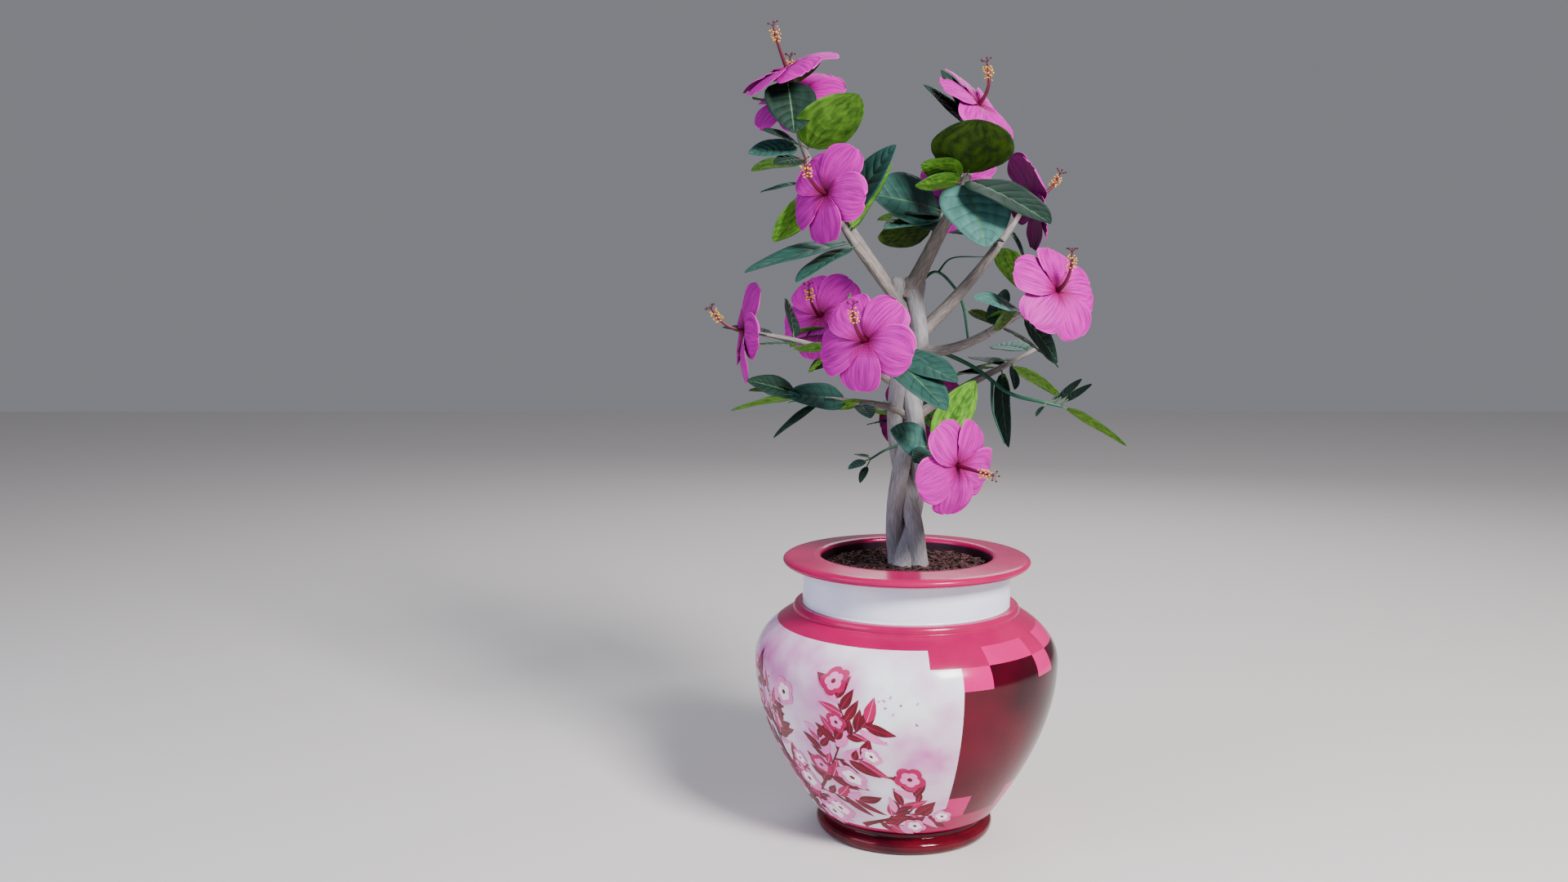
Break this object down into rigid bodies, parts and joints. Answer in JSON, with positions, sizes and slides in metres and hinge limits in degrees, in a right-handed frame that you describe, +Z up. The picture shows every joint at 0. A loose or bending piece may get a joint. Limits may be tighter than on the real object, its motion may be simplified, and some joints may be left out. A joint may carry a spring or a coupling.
{
  "type": "potted hibiscus shrub",
  "caption": "Flowering hibiscus shrub with a plaited stem, spreading boughs, broad leaves and open pink blooms, growing in a round-bellied glazed jar.",
  "frame": {"origin": "middle of the flat underside of the jar's foot", "axes": "+Z up along the plaited trunk, +X to the right and +Y to the back as the plant is seen from its front, where the jar's painted panel faces"},
  "size_m": [0.5326, 0.405, 1.0534],
  "materials": {
    "glaze": "gloss",
    "mulch": "matte",
    "bark": "matte",
    "foliage": "satin"
  },
  "bodies": {
    "root": {"pot": "glaze", "soil": "mulch", "stem_1": "bark", "stem_2": "bark", "stem_3": "bark", "bough_left_high": "bark", "bough_left_front": "bark", "bough_centre": "bark", "bough_back": "bark", "bough_right_high": "bark", "bough_right_front": "bark", "bough_right_low": "bark", "bough_left_mid": "bark", "bough_left_low": "bark", "bough_left_back": "bark", "bough_front": "bark", "bough_low_right": "bark", "bough_low_back": "bark", "spray_left_high": "foliage", "spray_left_front": "foliage", "spray_centre": "foliage", "spray_back": "foliage", "spray_right_high": "foliage", "spray_right_front": "foliage", "spray_right_low": "foliage", "spray_left_mid": "foliage", "spray_left_low": "foliage", "spray_left_back": "foliage", "spray_front": "foliage", "spray_low_right": "foliage", "spray_low_back": "foliage", "sprout_left": "foliage", "vine_right": "foliage", "vine_upper": "foliage"}
  },
  "joints": []
}
